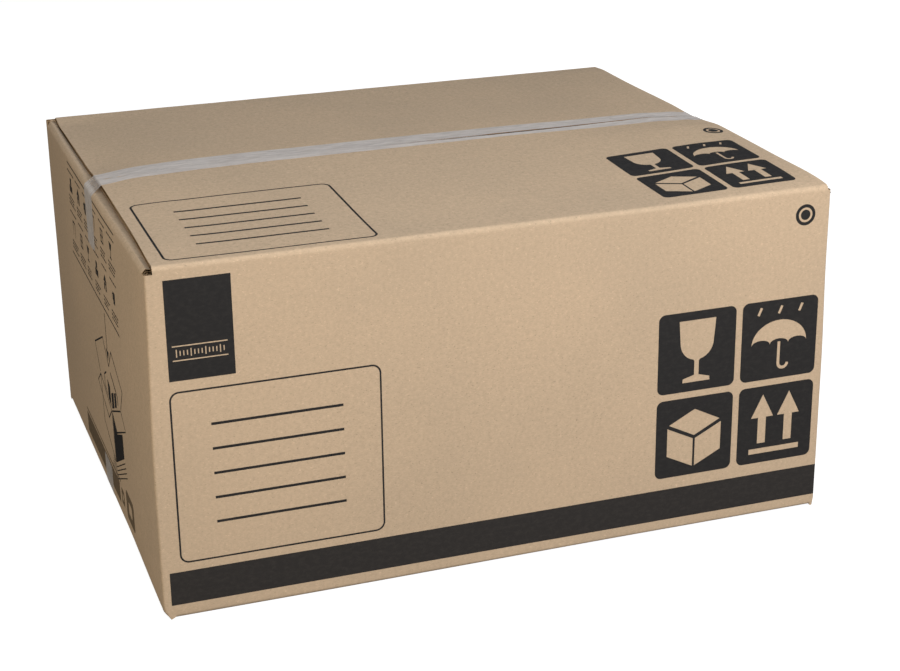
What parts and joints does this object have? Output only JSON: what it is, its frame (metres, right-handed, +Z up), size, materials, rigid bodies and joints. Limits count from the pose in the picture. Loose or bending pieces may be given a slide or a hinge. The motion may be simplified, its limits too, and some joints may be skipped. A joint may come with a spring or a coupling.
{
  "type": "closed cardboard box",
  "caption": "Closed moving carton folded from one sheet of corrugated board, with slotted corners, a low middle ridge and a taped seam above and below.",
  "frame": {"origin": "middle of the underside, on the surface the carton stands on", "axes": "+X along the 600 mm side, +Y from the printed front to the back, +Z up"},
  "size_m": [0.6004, 0.5, 0.3114],
  "materials": {
    "kraft_board": "matte",
    "packing_tape": "satin"
  },
  "bodies": {
    "root": {"carton": "kraft_board", "top_tape": "packing_tape", "bottom_tape": "packing_tape"}
  },
  "joints": []
}
